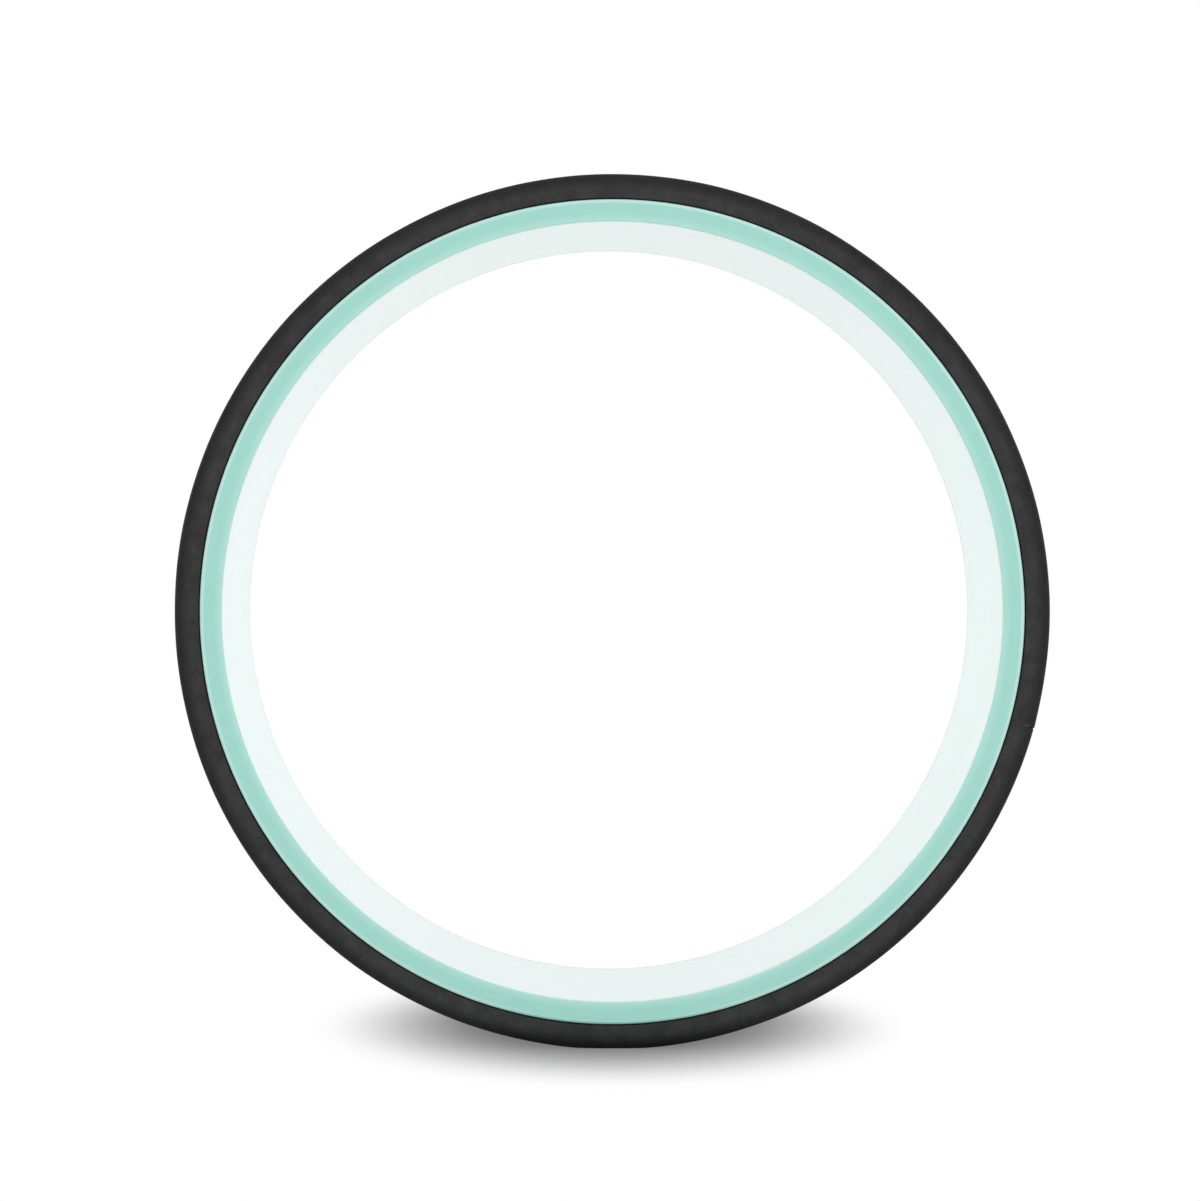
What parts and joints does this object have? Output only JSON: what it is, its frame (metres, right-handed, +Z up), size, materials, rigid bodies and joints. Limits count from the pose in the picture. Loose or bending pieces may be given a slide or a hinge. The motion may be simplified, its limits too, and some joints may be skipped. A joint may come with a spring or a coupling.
{
  "type": "back roller wheel",
  "caption": "Rigid hollow hoop with a smooth open bore and a firm foam pad wrapped round it, grooved for the spine, for rolling and stretching the back.",
  "frame": {"origin": "centre of the hoop, half way across its width", "axes": "+Y along the rolling axis, away from the camera in the picture; +X to the right in the picture; +Z up, with the wheel standing on its pad at -Z"},
  "size_m": [0.3048, 0.127, 0.3043],
  "materials": {
    "mint_plastic": "moulded, satin",
    "pale_plastic": "moulded, smooth, semi gloss",
    "black_foam": "closed cell foam, matt, fine grained skin",
    "adhesive_film": "black double sided film, only its edge shows as a dark line",
    "natural_nylon": "natural nylon, hidden"
  },
  "bodies": {
    "root": {"front_rim_shell": "mint_plastic", "rear_rim_shell": "mint_plastic", "inner_liner": "pale_plastic", "foam_pad": "black_foam", "pad_adhesive": "adhesive_film", "joining_pin_01": "natural_nylon", "joining_pin_02": "natural_nylon", "joining_pin_03": "natural_nylon", "joining_pin_04": "natural_nylon", "joining_pin_05": "natural_nylon", "joining_pin_06": "natural_nylon", "joining_pin_07": "natural_nylon", "joining_pin_08": "natural_nylon", "joining_pin_09": "natural_nylon", "joining_pin_10": "natural_nylon", "joining_pin_11": "natural_nylon", "joining_pin_12": "natural_nylon"}
  },
  "joints": []
}
